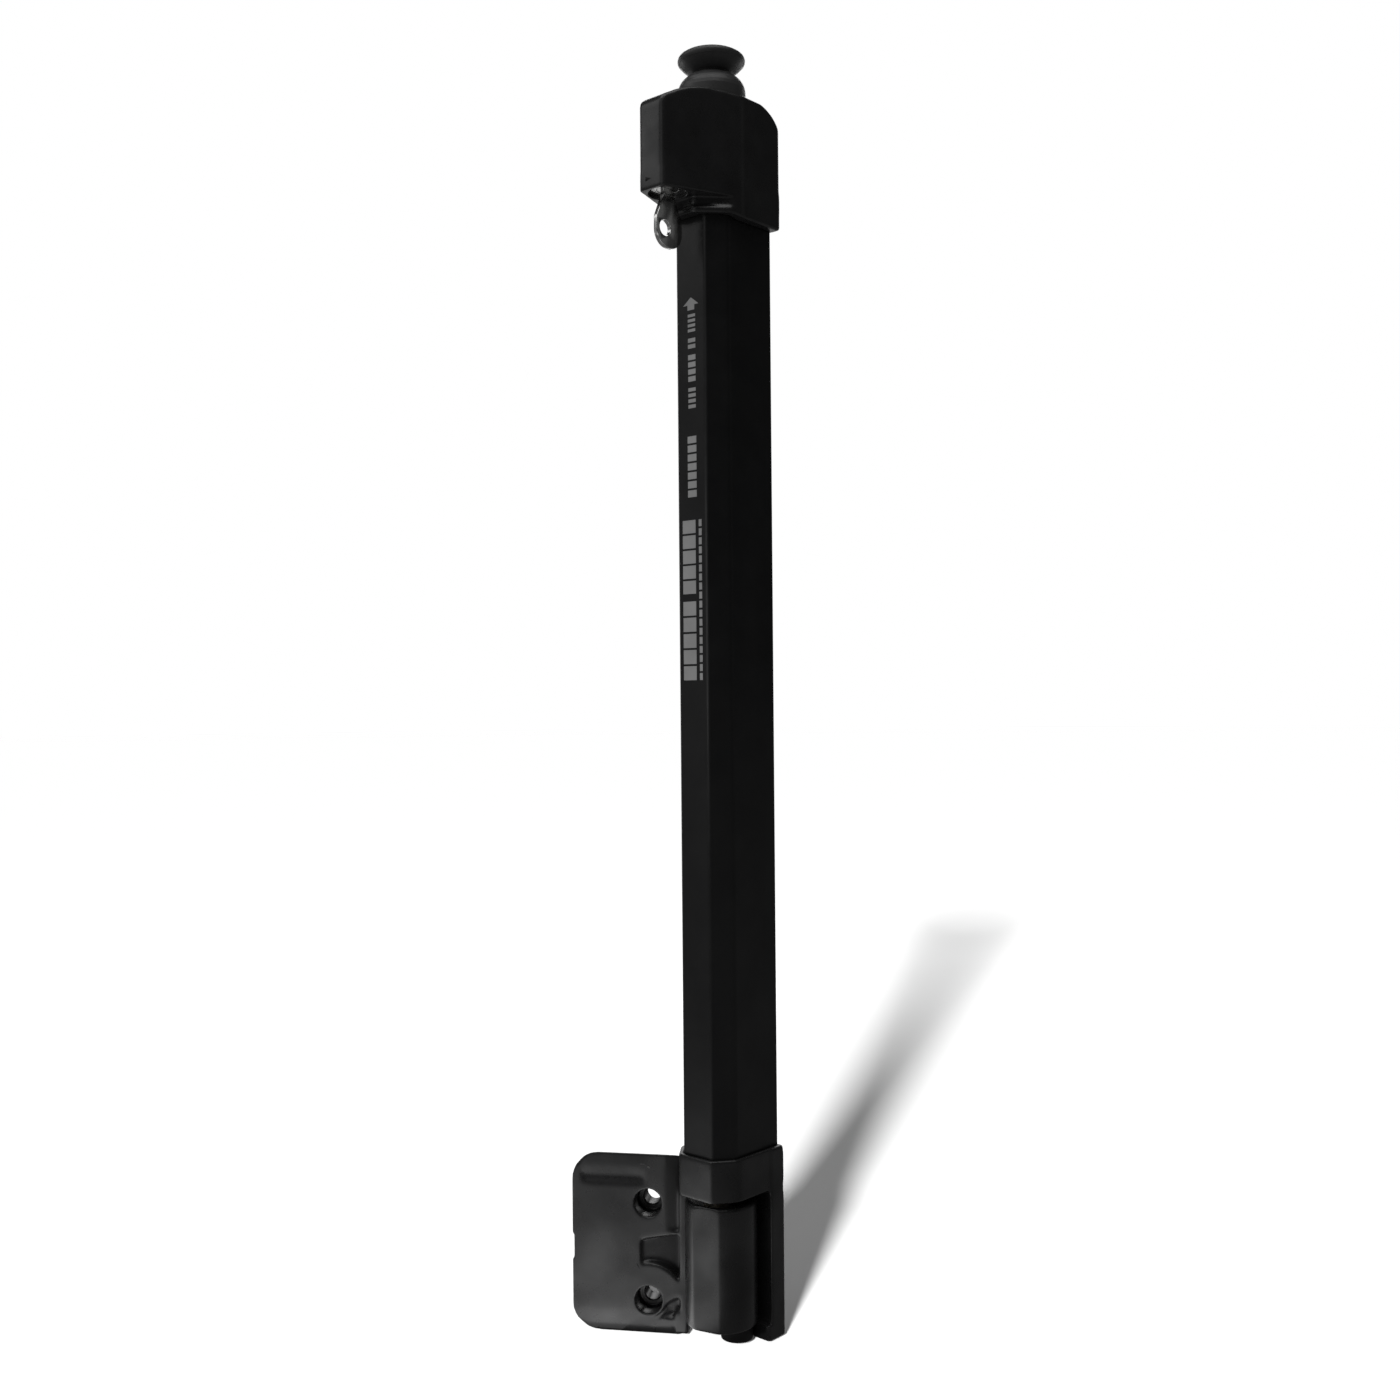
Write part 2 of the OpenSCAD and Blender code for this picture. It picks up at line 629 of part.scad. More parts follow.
neck_r = 1.7;
module lock_plug() color(nickel) at_lock() difference() {
    rotate_extrude() polygon([[0, lock_z + 0.1], [plug_r, lock_z + 0.1], [plug_r, lock_top + 0.2],
        [neck_r, lock_top + 0.2], [neck_r, lock_top + 2], [0, lock_top + 2]]);
    translate([-blade_t / 2 - 0.1, -blade_w / 2 - 0.1, lock_z - 1])
        cube([blade_t + 0.2, blade_w + 0.2, 13]);
    up(lock_top - 2) cylinder(r = 0.9, h = 10);
}

// The disc on the plug's end whose off-centre pin pushes the slide
module lock_driver() color(steel) at_lock() {
    difference() {
        up(lock_top + 0.2) cylinder(r = throw_r + drive_pin_r + 0.6, h = 1.8);
        up(lock_top) cylinder(r = neck_r + run_gap, h = 3);
    }
    rotate([0, 0, -45]) translate([throw_r, 0, lock_top + 1.99]) cylinder(r = drive_pin_r, h = 3.31);
}

module driver_screw() color(steel) at_lock() {
    up(lock_top - 2) cylinder(r = 0.9, h = 4.5);
    up(lock_top + 2) cylinder(r = throw_r - drive_pin_r - 0.2, h = 1.2);
}

module lock_slide() color(steel) in_frame() difference() {
    translate([-slide_half, slide_back, slide_z]) cube([2 * slide_half, slide_tip - slide_back, slide_t]);
    slot_y = lock_y - throw_r * sin(45);
    slot_half = drive_pin_r + 0.3;
    for (x = [throw_r * cos(45) - 0.1, throw_r + 0.1])
        translate([x, slot_y, slide_z - 1]) cylinder(r = slot_half, h = slide_t + 2);
    translate([throw_r * cos(45) - 0.1, slot_y - slot_half, slide_z - 1])
        cube([throw_r * (1 - cos(45)) + 0.2, 2 * slot_half, slide_t + 2]);
}

// The bridge that carries the slide between the housing's side walls
module slide_guide() color(nylon) in_frame() difference() {
    intersection() {
        head_form(head_wall, head_crown / 2);
        translate([-50, rail_front, slide_z - 3.4]) cube([100, rail_depth, slide_t + 6.4]);
    }
    translate([-slide_half - face_gap, rail_front - 1, slide_z - 0.3])
        cube([2 * (slide_half + face_gap), rail_depth + 2, slide_t + 0.6]);
}

// The key hangs from the lock: blade in the plug, shank, and a bow whose ring hole is off centre
bow_z = lock_z - 22.7;
bow_h = 20.4;
bow_shoulder = 9.2;
bow_hole_y = -2.4;
bow_hole_z = bow_z + 7.4;
blade_in = 11;
module key() color(nickel) at_lock() difference() {
    union() {
        translate([-blade_t / 2, -blade_w / 2, bow_z + bow_h - 3])
            cube([blade_t, blade_w, lock_z + blade_in - bow_z - bow_h + 3]);
        translate([-bow_t / 2, 0, 0]) rotate([90, 0, 90]) linear_extrude(bow_t)
            polygon(rounded([[-bow_w / 2, bow_z], [bow_w / 2, bow_z],
                [bow_w / 2, bow_z + bow_h - bow_shoulder], [blade_w / 2, bow_z + bow_h],
                [-blade_w / 2, bow_z + bow_h], [-bow_w / 2, bow_z + bow_h - bow_shoulder]],
                [bow_w * 0.46, bow_w * 0.46, 4, 1, 1, 4], 8));
    }
    bar_x(bow_hole_r, -bow_t, bow_t, bow_hole_y, bow_hole_z);
}

// Cuts away everything beyond a line at distance d from the pin, whose normal is at angle a
module beyond(a, d) rotate([0, 0, a]) translate([d, -100, -50]) cube([100, 200, 200]);

module barrel_form() difference() {
    up(barrel_z) rotate_extrude() polygon([[0, 0], [barrel_r - 0.6, 0], [barrel_r, 0.6],
        [barrel_r, barrel_top - barrel_z - 1], [barrel_r - 1, barrel_top - barrel_z],
        [0, barrel_top - barrel_z]]);
    for (a = [43:12:91]) beyond(a, barrel_back_r);
    beyond(-107.3, barrel_r - 1.1);
}

module block_outline(cut, low = 0, high = block_h - block_fall, low_r = block_r, high_r = block_r)
    polygon(rounded([[block_x + cut, low + cut], [-block_gap - cut, low + cut],
        [-block_gap - cut, high - cut], [block_x + cut, high - cut]],
        [max(low_r - cut, 0), 1.5, 1.5, max(high_r - cut, 0)], 8));

// A solid with an X and Z outline that runs from y0 back to y1
module facing(y0, y1) translate([0, y1, 0]) rotate([90, 0, 0]) linear_extrude(y1 - y0) children();

// The block, whose rounded top falls towards its back
module block_form() intersection() {
    facing(block_front, axis_to_back) block_outline(0, high = block_h + 5, high_r = 0);
    translate([0, block_front, block_h]) rotate([-atan(block_fall / block_depth), 0, 0])
        translate([0, 0, -block_h]) facing(-block_depth, 2 * block_depth)
            block_outline(0, low = -block_h, high = block_h, low_r = 0);
}

module block_bosses(r, y0, y1) for (z = hole_zs) bar_y(r, y0, y1, hole_x, z);

cover_screw_at = [[block_x + 10, block_h / 2], [-block_gap - 6.5, block_h - block_fall - 7]];

module striker_body() color(black) in_striker() difference() {
    union() {
        difference() {
            block_form();
            difference() {
                facing(block_front + block_wall + 1, axis_to_back + 1) block_outline(block_wall);
                block_bosses(gate_boss_r, 0, axis_to_back);
                translate([scoop_x - recess_wall, 0, 0])
                    cube([block_w, block_front + scoop_deep + recess_wall,
                        scoop_top + scoop_rise + recess_wall]);
                for (p = cover_screw_at) bar_y(3, 0, axis_to_back - cover_t, p.x, p.y);
            }
            facing(axis_to_back - cover_t, axis_to_back + 1) block_outline(block_wall * 0.6);
            block_face_cuts();
        }
        block_bosses(gate_boss_r, block_front, axis_to_back);
        barrel_form();
        translate([-block_gap - 1, block_front, barrel_z])
            cube([web_w, barrel_back_r - block_front, barrel_top - barrel_z]);
        translate([-block_gap - block_wall, block_front, web_foot_z])
            cube([block_wall + web_foot_w, flange_front - foot_t - face_gap - block_front,
                barrel_z - web_foot_z + 1]);
    }
    block_bosses(gate_bore_r, block_front - 5, block_front + gate_bore_depth);
    block_bosses(gate_hole_r, 0, axis_to_back + 1);
    for (p = cover_screw_at) bar_y(1.2, axis_to_back - 8, axis_to_back + 1, p.x, p.y);
    up(barrel_z - 1) cylinder(r = chamber_r, h = chamber_top - barrel_z + 1);
    up(barrel_z) cylinder(r = socket_r + 1, h = barrel_top);
}

// Features of the block's front: the top band, the edge notch, the lower bevel, the scoop over the
// lower hole's pad, the wedge and notch under that hole, the flat over the upper hole and the slope
// towards the barrel
band_drop = 11.4;
band_w = 26;
band_h = 3.9;
band_t = 1.2;
notch_z = 29.2;
notch_h = 10.2;
notch_t = 0.7;
bevel_h = 8.6;
bevel_t = 1.7;
pad_r = 15.3;
scoop_x = hole_x - 3;
scoop_low = block_hole_z + 8;
scoop_top = block_hole_z + 24.4;
scoop_rise = 3;
scoop_shallow = 1.4;
scoop_deep = 6.5;
recess_wall = 2;
wedge_shallow = 0.8;
wedge_deep = 4;
wedge_pts = [[-0.4, -5], [1.7, -9.2], [5.8, -6.3], [14, -7], [14, 2.4], [5.8, -2.2], [3.6, -4.2]];
flat_w = 6;
flat_h = 4;
flat_t = 0.9;
slope_w = 6.5;
slope_t = 2.2;

// A recess of the given outline whose floor falls from one depth at its left to another at the barrel
module sinking(outline, left, shallow, deep) intersection() {
    facing(block_front - 1, block_front + deep + 1) polygon(outline);
    linear_extrude(block_h) polygon([[left, block_front - 2], [left, block_front + shallow],
        [-block_gap + 1, block_front + deep], [-block_gap + 1, block_front - 2]]);
}

module block_face_cuts() {
    translate([block_x + 4, block_front - 1, block_h - band_drop]) cube([band_w, 1 + band_t, band_h]);
    translate([block_x - 1, block_front - 1, notch_z]) cube([1 + notch_t, axis_to_back, notch_h]);
    translate([block_x - 1, 0, 0]) rotate([90, 0, 90]) linear_extrude(block_w + 2)
        polygon([[block_front - 1, bevel_h], [block_front, bevel_h],
            [block_front + bevel_t, -1], [block_front - 1, -1]]);
    difference() {
        sinking([[scoop_x, scoop_low], [scoop_x, scoop_top], [-block_gap + 1, scoop_top + scoop_rise],
            [-block_gap + 1, scoop_low]], scoop_x, scoop_shallow, scoop_deep);
        bar_y(pad_r, 0, axis_to_back, hole_x, block_hole_z);
    }
    sinking([for (p = wedge_pts) p + [hole_x, block_hole_z]], hole_x - 1, wedge_shallow, wedge_deep);
    translate([hole_x - flat_w / 2, 0, hole_zs[1] + gate_bore_r - 1]) rotate([90, 0, 90])
        linear_extrude(flat_w) polygon([[block_front - 1, flat_h], [block_front, flat_h],
            [block_front + flat_t, 0], [block_front - 1, 0]]);
    up(scoop_top + scoop_rise + 1) linear_extrude(block_h) polygon([[-block_gap - slope_w, block_front - 1],
        [-block_gap - slope_w, block_front], [-block_gap + 1, block_front + slope_t],
        [-block_gap + 1, block_front - 1]]);
}

module striker_back_cover() color(satin_black) in_striker() difference() {
    facing(axis_to_back - cover_t, axis_to_back) block_outline(block_wall * 0.6);
    block_bosses(gate_boss_r, 0, axis_to_back + 1);
    for (p = cover_screw_at) translate([p.x, axis_to_back + 0.01, p.y]) rotate([90, 0, 0])
        cylinder(r1 = 2.5, r2 = 1.2, h = 1.3);
    for (p = cover_screw_at) bar_y(1.2, 0, axis_to_back + 1, p.x, p.y);
}

module cover_screws() color(steel) in_striker() for (p = cover_screw_at)
    translate([p.x, axis_to_back, p.y]) rotate([90, 0, 0]) difference() {
        rotate_extrude() polygon([[0, 0], [2.48, 0], [1.2, 1.28], [1.2, 7.5], [0, 7.5]]);
        for (a = [0, 90]) rotate([0, 0, a]) translate([-1.5, -0.25, -1]) cube([3, 0.5, 1.5]);
    }

// The steel cup that the latch pin drops into
module socket_liner() color(nickel) in_striker() difference() {
    union() {
        up(socket_floor - 1) cylinder(r = socket_r + 1, h = barrel_top - socket_floor + 1);
        up(chamber_top - 2) cylinder(r = chamber_r, h = 2);
    }
    up(socket_floor) cylinder(r = socket_r, h = barrel_top - socket_floor + 1);
}

module at_adjuster() translate([adjuster_at.x, adjuster_at.y, 0]) children();

module barrel_plug() color(black) in_striker() difference() {
    union() {
        up(barrel_z) cylinder(r = chamber_r, h = plug_t);
        at_adjuster() up(barrel_z - plug_boss_h) cylinder(r = plug_boss_r, h = plug_boss_h);
    }
    at_adjuster() {
        up(0) cylinder(r = adjuster_r + run_gap, h = 20);
        up(0) cylinder(r = 2 * adjuster_r + face_gap, h = barrel_z - 2);
    }
}

module adjuster_screw() color(steel) in_striker() at_adjuster() difference() {
    union() {
        up(barrel_z - 2 - 2.2 - 0.05) cylinder(r = 2 * adjuster_r, h = 2.2);
        up(barrel_z - 3) cylinder(r = adjuster_r, h = adjuster_tip - barrel_z + 3);
    }
    for (a = [0, 90]) rotate([0, 0, a]) translate([-3, -0.5, barrel_z - 5.5]) cube([6, 1, 2.4]);
}

module magnet_carrier() color(nylon) in_striker() difference() {
    up(carrier_z) cylinder(r = carrier_r, h = carrier_top - carrier_z);
    up(carrier_top - magnet_h) cylinder(r = magnet_r, h = magnet_h + 1);
    at_adjuster() up(carrier_z - 1) cylinder(r = adjuster_r + run_gap, h = tap_z - carrier_z + 1);
}

module magnet() color(steel) in_striker() up(carrier_top - magnet_h) cylinder(r = magnet_r, h = magnet_h);

body_tube();
lower_housing();
upper_housing();
lower_screw_plate();
upper_screw_plate();
set_screws();
tube_screws();
knob_boss();
pin_bush();
rod_guide();
spring_seat();
return_spring();
knob();
knob_stem();
lift_rod();
rod_coupler();
latch_pin();
cross_pins();
lock_body();
lock_clip();
lock_plug();
lock_driver();
driver_screw();
lock_slide();
slide_guide();
key();
striker_body();
striker_back_cover();
cover_screws();
socket_liner();
barrel_plug();
adjuster_screw();
magnet_carrier();
magnet();
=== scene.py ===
import json
import math

import bmesh
import bpy
import numpy as np
from mathutils import Matrix, Vector


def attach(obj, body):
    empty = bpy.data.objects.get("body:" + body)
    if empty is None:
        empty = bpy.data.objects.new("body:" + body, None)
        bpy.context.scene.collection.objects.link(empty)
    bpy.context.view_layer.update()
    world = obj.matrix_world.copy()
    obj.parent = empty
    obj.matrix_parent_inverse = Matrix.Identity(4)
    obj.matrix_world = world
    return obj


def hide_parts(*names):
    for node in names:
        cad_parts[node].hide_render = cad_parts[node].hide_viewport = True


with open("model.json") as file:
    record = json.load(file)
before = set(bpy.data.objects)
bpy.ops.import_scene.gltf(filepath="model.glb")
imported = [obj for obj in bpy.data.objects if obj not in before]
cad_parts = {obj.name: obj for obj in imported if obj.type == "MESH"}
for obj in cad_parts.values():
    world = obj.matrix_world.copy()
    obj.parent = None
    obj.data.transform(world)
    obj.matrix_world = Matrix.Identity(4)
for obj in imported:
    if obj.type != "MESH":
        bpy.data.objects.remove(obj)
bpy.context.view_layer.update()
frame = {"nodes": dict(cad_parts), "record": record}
scene = bpy.context.scene
MM = 0.001

# The pin's axis and the height of the floor in the frame, in metres
PIN_Y = -0.021
FLOOR_Z = -0.035


def place(x, y, z):
    """The point of the frame that lies so many millimetres from the pin's axis and above the floor."""
    return Vector((x * MM, y * MM + PIN_Y, z * MM + FLOOR_Z))


# Camera: how far it stands round to the side, its place in millimetres, its roll and its lens

VIEW_SIDE = math.radians(42)
VIEW_DISTANCE = 600
VIEW_HEIGHT = 257.2
VIEW_SHIFT = -6.64
VIEW_ROLL = math.radians(0.481)
LENS = 38.571
SENSOR = 36
CLIP_NEAR = 0.01
RIGHT = Vector((math.cos(VIEW_SIDE), math.sin(VIEW_SIDE), 0))
AHEAD = Vector((-math.sin(VIEW_SIDE), math.cos(VIEW_SIDE), 0))
UP = Vector((0, 0, 1))


def make_camera():
    data = bpy.data.cameras.new("camera")
    data.lens = LENS
    data.sensor_width = SENSOR
    data.clip_start = CLIP_NEAR
    camera = bpy.data.objects.new("camera", data)
    scene.collection.objects.link(camera)
    up = UP * math.cos(VIEW_ROLL) + RIGHT * math.sin(VIEW_ROLL)
    right = RIGHT * math.cos(VIEW_ROLL) - UP * math.sin(VIEW_ROLL)
    turn = Matrix((right, up, -AHEAD)).transposed().to_4x4()
    spot = RIGHT * VIEW_SHIFT * MM - AHEAD * VIEW_DISTANCE * MM + place(0, 0, VIEW_HEIGHT)
    camera.matrix_world = Matrix.Translation(spot) @ turn
    scene.camera = camera


make_camera()


# Light

def direction(left, height):
    """A unit vector from the object, so many degrees left of the camera and above the horizon."""
    turn, rise = math.radians(left), math.radians(height)
    level = -AHEAD * math.cos(turn) - RIGHT * math.sin(turn)
    return level * math.cos(rise) + UP * math.sin(rise)


def add_light(name, kind, spot, facing, energy):
    """A light that shines against the facing direction and isn't seen by the camera itself."""
    data = bpy.data.lights.new(name, kind)
    data.energy = energy
    light = bpy.data.objects.new(name, data)
    scene.collection.objects.link(light)
    light.matrix_world = Matrix.Translation(spot) @ facing.to_track_quat("Z", "Y").to_matrix().to_4x4()
    light.visible_camera = False
    return light


def add_panel(name, spot, facing, size, glow):
    """A rectangular light of the given size in metres and glow in radiance."""
    light = add_light(name, "AREA", spot, facing, glow * math.pi * size[0] * size[1])
    light.data.shape = "RECTANGLE"
    light.data.size, light.data.size_y = size
    return light


HEAD_SPOT = place(0, -20, 470)
MIDDLE = place(0, -10, 257)
BASE_SPOT = place(-8, -14, 40)
LOCK_SPOT = place(0, -26, 454)
# Each softbox's place in degrees left of the camera and above the floor, its distance and size in
# metres, its glow and where it points
SOFTBOXES = {
    "left_box": (84, 30, 1.0, (0.7, 0.45), 1.05, HEAD_SPOT),
    "tall_box": (84, 2, 1.6, (0.5, 1.3), 0.2, MIDDLE),
    "top_box": (20, 76, 1.1, (1.1, 0.9), 1.5, MIDDLE),
    "front_box": (24, 8, 1.5, (0.4, 0.5), 0.1, MIDDLE),
    "rim_card": (46, 40, 0.4, (0.2, 0.2), 1.0, BASE_SPOT),
    "head_card": (30, 20, 0.5, (0.35, 0.3), 0.4, HEAD_SPOT),
    "right_box": (-80, 15, 1.2, (0.3, 0.8), 0.08, MIDDLE),
    "lock_card": (178, -14, 0.9, (0.6, 0.3), 0.6, LOCK_SPOT),
    "back_left_box": (138, 8, 1.4, (0.4, 1.2), 1.2, MIDDLE),
    "back_right_box": (-142, 8, 1.4, (0.4, 1.2), 1.2, MIDDLE),
    "back_box": (180, 30, 1.3, (0.9, 0.8), 2.2, MIDDLE),
}
for name, (left, height, distance, size, glow, aim) in SOFTBOXES.items():
    out = direction(left, height)
    add_panel(name, aim + out * distance, out, size, glow)

# White cards that lie on the floor and throw light up at the base: which way each one faces in degrees
# left of the camera, how far its near edge is from the pin and how far it is moved left in metres, its
# width and depth, and its glow
FLOOR_CARDS = {
    "foot_card": (10, -0.002, 0.098, (0.164, 0.02), 1.3),
    "plate_card": (10, 0.018, 0.108, (0.184, 0.07), 0.46),
    "far_card": (10, 0.088, 0.12, (0.2, 0.27), 0.36),
    "barrel_card": (62, 0.03, 0.02, (0.2, 0.34), 0.48),
}
CARD_UP = 1
for name, (left, start, aside, size, glow) in FLOOR_CARDS.items():
    flat = direction(left, 0)
    card = add_panel(name, Vector(), -UP, size, glow)
    turn = Matrix((UP.cross(flat), flat, -UP)).transposed().to_4x4()
    spot = place(0, 0, CARD_UP) + flat * (start + size[1] / 2) + flat.cross(UP) * aside
    card.matrix_world = Matrix.Translation(spot) @ turn

SUN_WAY = direction(15, 23)
SUN_DISTANCE = 3
SUN_POWER = 30
SUN_SPREAD = math.radians(6)


def shadow_sun(floor):
    """The light that casts the shadow on the floor, and shines on nothing else."""
    sun = add_light("shadow_sun", "SUN", MIDDLE + SUN_WAY * SUN_DISTANCE, SUN_WAY, SUN_POWER)
    sun.data.angle = SUN_SPREAD
    lit = bpy.data.collections.new("floor_light")
    lit.objects.link(floor)
    sun.light_linking.receiver_collection = lit


def seen_or_not(tree, seen, unseen, target):
    """Joins two shaders: one for what the camera sees, one for light and reflections."""
    path = tree.nodes.new("ShaderNodeLightPath")
    mix = tree.nodes.new("ShaderNodeMixShader")
    tree.links.new(path.outputs["Is Camera Ray"], mix.inputs[0])
    tree.links.new(unseen.outputs[0], mix.inputs[1])
    tree.links.new(seen.outputs[0], mix.inputs[2])
    tree.links.new(mix.outputs[0], target.inputs["Surface"])


def glow_node(tree, kind, strength):
    """A background or emission node that glows white."""
    node = tree.nodes.new(kind)
    node.inputs["Color"].default_value = (1, 1, 1, 1)
    node.inputs["Strength"].default_value = strength
    return node


# How bright the world is to the camera, and for light and reflections
BACKDROP = 1.0
AROUND = 0.025


def make_world():
    world = bpy.data.worlds.new("studio")
    scene.world = world
    world.use_nodes = True
    tree = world.node_tree
    tree.nodes.clear()
    shown = glow_node(tree, "ShaderNodeBackground", BACKDROP)
    around = glow_node(tree, "ShaderNodeBackground", AROUND)
    seen_or_not(tree, shown, around, tree.nodes.new("ShaderNodeOutputWorld"))


make_world()
scene.view_settings.view_transform = "Standard"


# Materials

# The part of a noise's range that is spread out over what it steers
NOISE_LOW, NOISE_HIGH = 0.3, 0.7
# How fine each noise is, in waves per metre
SHEEN_WAVES, COLOUR_WAVES, ROUGH_WAVES, DENT_WAVES, GRAIN_WAVES = 60, 55, 130, 70, 3200
LINE_WAVES, TINT_WAVES = 900, 120
# The darkest tint of a metal, as a share of its colour
TINT_SHARE = 0.86


class Tree:
    """Shorthand for a material's nodes."""

    def __init__(self, name):
        self.material = bpy.data.materials.new(name)
        self.material.use_nodes = True
        self.nodes = self.material.node_tree.nodes
        self.links = self.material.node_tree.links
        self.shader = self.nodes["Principled BSDF"]
        self.coords = self.nodes.new("ShaderNodeTexCoord").outputs["Object"]

    def steer(self, value, socket):
        self.links.new(value, self.shader.inputs[socket])

    def noise(self, scale, detail=2.0, rough=0.5, stretch=None):
        coords = self.coords
        if stretch:
            mapping = self.nodes.new("ShaderNodeMapping")
            mapping.inputs["Scale"].default_value = stretch
            self.links.new(coords, mapping.inputs["Vector"])
            coords = mapping.outputs[0]
        node = self.nodes.new("ShaderNodeTexNoise")
        node.inputs["Scale"].default_value = scale
        node.inputs["Detail"].default_value = detail
        node.inputs["Roughness"].default_value = rough
        self.links.new(coords, node.inputs["Vector"])
        return node.outputs["Fac"]

    def spread(self, value, low, high):
        """A noise's middle part, mapped to run from low to high."""
        node = self.nodes.new("ShaderNodeMapRange")
        ends = {"From Min": NOISE_LOW, "From Max": NOISE_HIGH, "To Min": low, "To Max": high}
        for name, number in ends.items():
            node.inputs[name].default_value = number
        self.links.new(value, node.inputs["Value"])
        return node.outputs[0]

    def colours(self, value, dark, light):
        """The base colour, from dark to light."""
        node = self.nodes.new("ShaderNodeMix")
        node.data_type = "RGBA"
        node.inputs["A"].default_value = (*dark, 1)
        node.inputs["B"].default_value = (*light, 1)
        self.links.new(value, node.inputs["Factor"])
        self.steer(node.outputs["Result"], "Base Color")

    def bump(self, *layers):
        """Bump from several heights, each with its depth in metres."""
        normal = None
        for height, depth in layers:
            node = self.nodes.new("ShaderNodeBump")
            node.inputs["Strength"].default_value = 1.0
            node.inputs["Distance"].default_value = depth
            self.links.new(height, node.inputs["Height"])
            if normal:
                self.links.new(normal, node.inputs["Normal"])
            normal = node.outputs[0]
        self.steer(normal, "Normal")


def plastic(name, dark, light, low, high, grain, dent, sheen=(0.35, 0.45)):
    """Moulded plastic: fine grain, slow dents and patches in its sheen and a little change of colour."""
    t = Tree(name)
    t.steer(t.spread(t.noise(SHEEN_WAVES, 2, 0.4), *sheen), "Specular IOR Level")
    t.colours(t.spread(t.noise(COLOUR_WAVES, 3), 0, 1), dark, light)
    t.steer(t.spread(t.noise(ROUGH_WAVES, 4, 0.6), low, high), "Roughness")
    t.bump((t.noise(DENT_WAVES), dent), (t.noise(GRAIN_WAVES), grain))
    return t.material


def metal(name, colour, low, high, stretch, grain):
    """Bare or plated metal with fine lines drawn along one way."""
    t = Tree(name)
    t.shader.inputs["Metallic"].default_value = 1.0
    lines = t.noise(LINE_WAVES, 3, 0.6, stretch)
    t.colours(t.spread(t.noise(TINT_WAVES, 3), 0, 1), tuple(c * TINT_SHARE for c in colour), colour)
    t.steer(t.spread(lines, low, high), "Roughness")
    t.bump((lines, grain))
    return t.material


# How a metal's lines are stretched: along its length, or not at all
ALONG_Z = (1, 1, 0.04)
EVEN = (1, 1, 1)
# Each plastic's dark and light colour, its lowest and highest roughness, the depth in metres of its grain
# and of its dents, and the range of its sheen where that isn't the usual one
PLASTICS = {
    "moulded_black": ((0.017, 0.017, 0.0175), (0.025, 0.025, 0.0255), 0.24, 0.36, 0.000003, 0.0001,
                      (0.38, 0.72)),
    # The knob is the same black plastic as the housings; its lighter grey here is painted light, standing
    # in for the lit top and soft highlights of its boss.
    "knob_black": ((0.055, 0.055, 0.0555), (0.068, 0.068, 0.0685), 0.34, 0.46, 0.00001, 0.00006),
    "tube_black": ((0.010, 0.010, 0.0105), (0.014, 0.014, 0.0145), 0.28, 0.36, 0.000008, 0.00003),
    "cover_black": ((0.013, 0.013, 0.0135), (0.02, 0.02, 0.0205), 0.45, 0.6, 0.000014, 0.00006),
    "guide_nylon": ((0.74, 0.73, 0.69), (0.82, 0.81, 0.77), 0.45, 0.6, 0.000008, 0.00003, (0.45, 0.55)),
    "mark_ink": ((0.4, 0.4, 0.4), (0.5, 0.5, 0.5), 0.45, 0.6, 0.000004, 0.00002),
}
# Each metal's colour, its lowest and highest roughness, the way of its lines and their depth in metres
METALS = {
    "plate_steel": ((0.6, 0.61, 0.63), 0.28, 0.45, ALONG_Z, 0.00001),
    "screw_steel": ((0.66, 0.67, 0.69), 0.22, 0.36, EVEN, 0.000006),
    "rod_steel": ((0.66, 0.67, 0.69), 0.16, 0.3, ALONG_Z, 0.000005),
    "spring_steel": ((0.5, 0.51, 0.53), 0.25, 0.4, EVEN, 0.000006),
    "lock_nickel": ((0.72, 0.72, 0.71), 0.16, 0.3, EVEN, 0.000005),
    "lock_steel": ((0.6, 0.61, 0.63), 0.25, 0.42, EVEN, 0.000006),
    "key_nickel": ((0.76, 0.76, 0.75), 0.12, 0.26, ALONG_Z, 0.000006),
    "bush_brass": ((0.72, 0.55, 0.25), 0.2, 0.34, EVEN, 0.000006),
    "liner_nickel": ((0.7, 0.7, 0.71), 0.16, 0.28, EVEN, 0.000005),
    "magnet_nickel": ((0.7, 0.7, 0.72), 0.14, 0.26, EVEN, 0.000004),
}
MATERIALS = {name: plastic(name, *values) for name, values in PLASTICS.items()}
MATERIALS.update({name: metal(name, *values) for name, values in METALS.items()})


def dress(obj, slot):
    obj.data.materials.clear()
    obj.data.materials.append(MATERIALS[slot])


# The material slot and the body of each CAD node
SLOT_OF = {s["node"]: s["material_slot"] for s in frame["record"]["subparts"]}
BODY_OF = {n: b for b, ns in frame["record"]["behaviour"]["bodies"].items() for n in ns}
for node, obj in frame["nodes"].items():
    dress(obj, SLOT_OF[node])


# Pieces

def finish_mesh(mesh, name, slot, body):
    """A new piece of that mesh, with its material, its slot and the body it rides on."""
    mesh.update()
    obj = bpy.data.objects.new(name, mesh)
    scene.collection.objects.link(obj)
    dress(obj, slot)
    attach(obj, body)
    return obj


def smoothing_nodes(name, angle):
    """Geometry nodes that shade a mesh smooth, but for edges where it turns by more than the angle."""
    group = bpy.data.node_groups.new(name, "GeometryNodeTree")
    for way in ("INPUT", "OUTPUT"):
        group.interface.new_socket("Geometry", in_out=way, socket_type="NodeSocketGeometry")
    between = group.nodes.new("GeometryNodeInputMeshEdgeAngle")
    blunt = group.nodes.new("FunctionNodeCompare")
    blunt.operation = "LESS_THAN"
    blunt.inputs[1].default_value = math.radians(angle)
    group.links.new(between.outputs["Unsigned Angle"], blunt.inputs[0])
    faces = group.nodes.new("GeometryNodeSetShadeSmooth")
    faces.domain = "FACE"
    edges = group.nodes.new("GeometryNodeSetShadeSmooth")
    edges.domain = "EDGE"
    group.links.new(blunt.outputs[0], edges.inputs["Shade Smooth"])
    steps = (group.nodes.new("NodeGroupInput"), faces, edges, group.nodes.new("NodeGroupOutput"))
    for start, end in zip(steps, steps[1:]):
        group.links.new(start.outputs[0], end.inputs[0])
    return group


